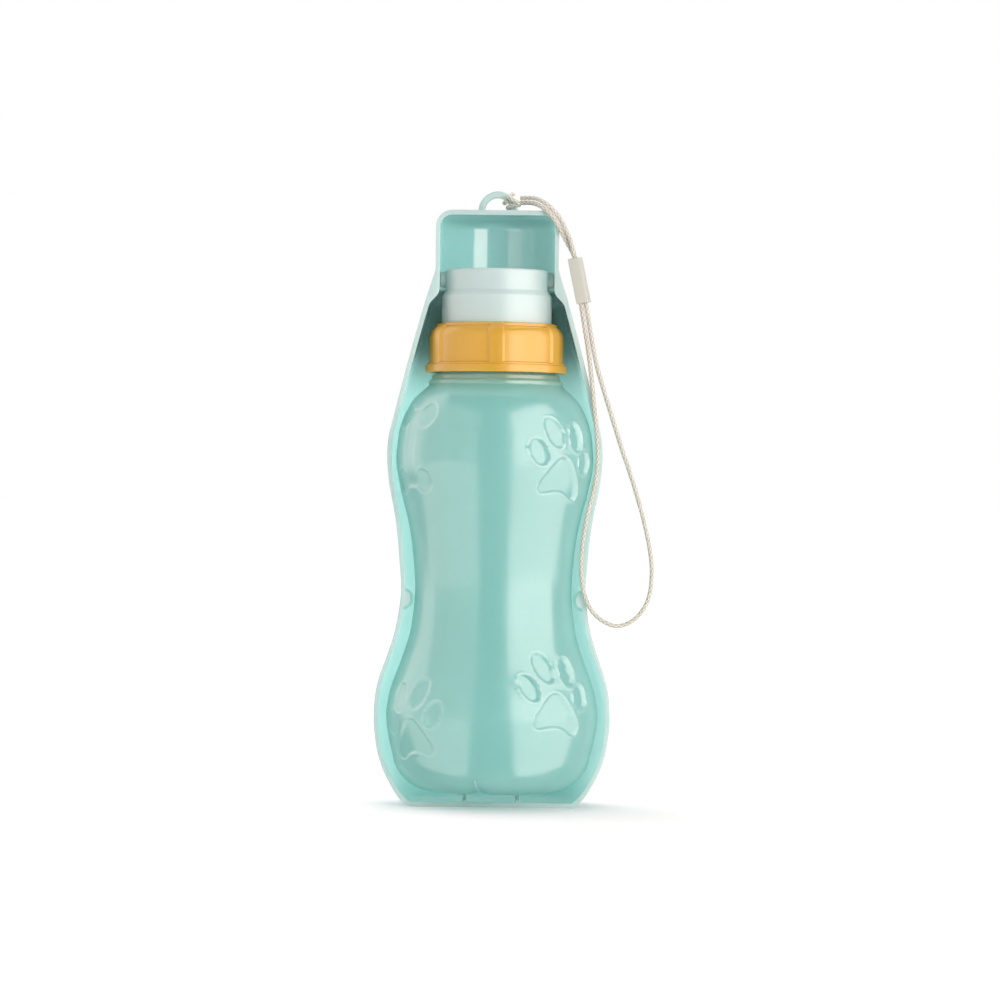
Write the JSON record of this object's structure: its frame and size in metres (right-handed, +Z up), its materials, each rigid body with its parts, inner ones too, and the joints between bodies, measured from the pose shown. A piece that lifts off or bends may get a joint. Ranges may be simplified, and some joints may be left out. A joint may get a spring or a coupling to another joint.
{
  "type": "dog travel water bottle",
  "caption": "Squeeze water bottle with a screw ring and a pivoting outlet collar, hung inside a see-through drinking trough with a corded wrist loop.",
  "frame": {"origin": "on the ground, under the bottle's axis, on the trough's flat bottom", "axes": "+Z up along the bottle, +X to the right when the open side is looked into, +Y towards the trough's back"},
  "size_m": [0.1149, 0.092, 0.2547],
  "materials": {
    "trough_plastic": "see-through aqua polypropylene with a soft gloss",
    "bottle_plastic": "see-through aqua soft polyethylene with a satin sheen",
    "ring_plastic": "solid amber orange plastic, satin",
    "collar_plastic": "pale milky plastic with a faint green tint",
    "valve_silicone": "clear to white silicone",
    "retainer_plastic": "pale plastic",
    "gasket_rubber": "white silicone washer",
    "cord_fabric": "beige twisted cord",
    "clamp_plastic": "off-white plastic"
  },
  "bodies": {
    "trough_body": {"trough": "trough_plastic", "lanyard_cord": "cord_fabric", "lanyard_hitch": "cord_fabric", "cord_clamp": "clamp_plastic"},
    "cap_body": {"outlet_collar": "collar_plastic", "slit_valve": "valve_silicone", "valve_retainer": "retainer_plastic", "neck_gasket": "gasket_rubber"},
    "ring_body": {"screw_ring": "ring_plastic"},
    "bottle_body": {"bottle": "bottle_plastic"}
  },
  "joints": [
    {"name": "bottle_swing", "type": "hinge", "parent": "trough_body", "child": "cap_body", "pos_m": [0, 0, 0.2178], "axis": [-1, 0, 0], "range_deg": [0, 100]},
    {"name": "ring_turn", "type": "hinge", "parent": "cap_body", "child": "ring_body", "pos_m": [0, 0, 0.19], "axis": [0, 0, 1], "range_deg": [0, 150]},
    {"name": "bottle_release", "type": "slide", "parent": "cap_body", "child": "bottle_body", "axis": [0, 0, -1], "range_m": [0, 0.002]}
  ],
  "couplings": [
    {"joint": "bottle_release", "follows": "ring_turn", "m_per_rad": 0.00076394}
  ]
}
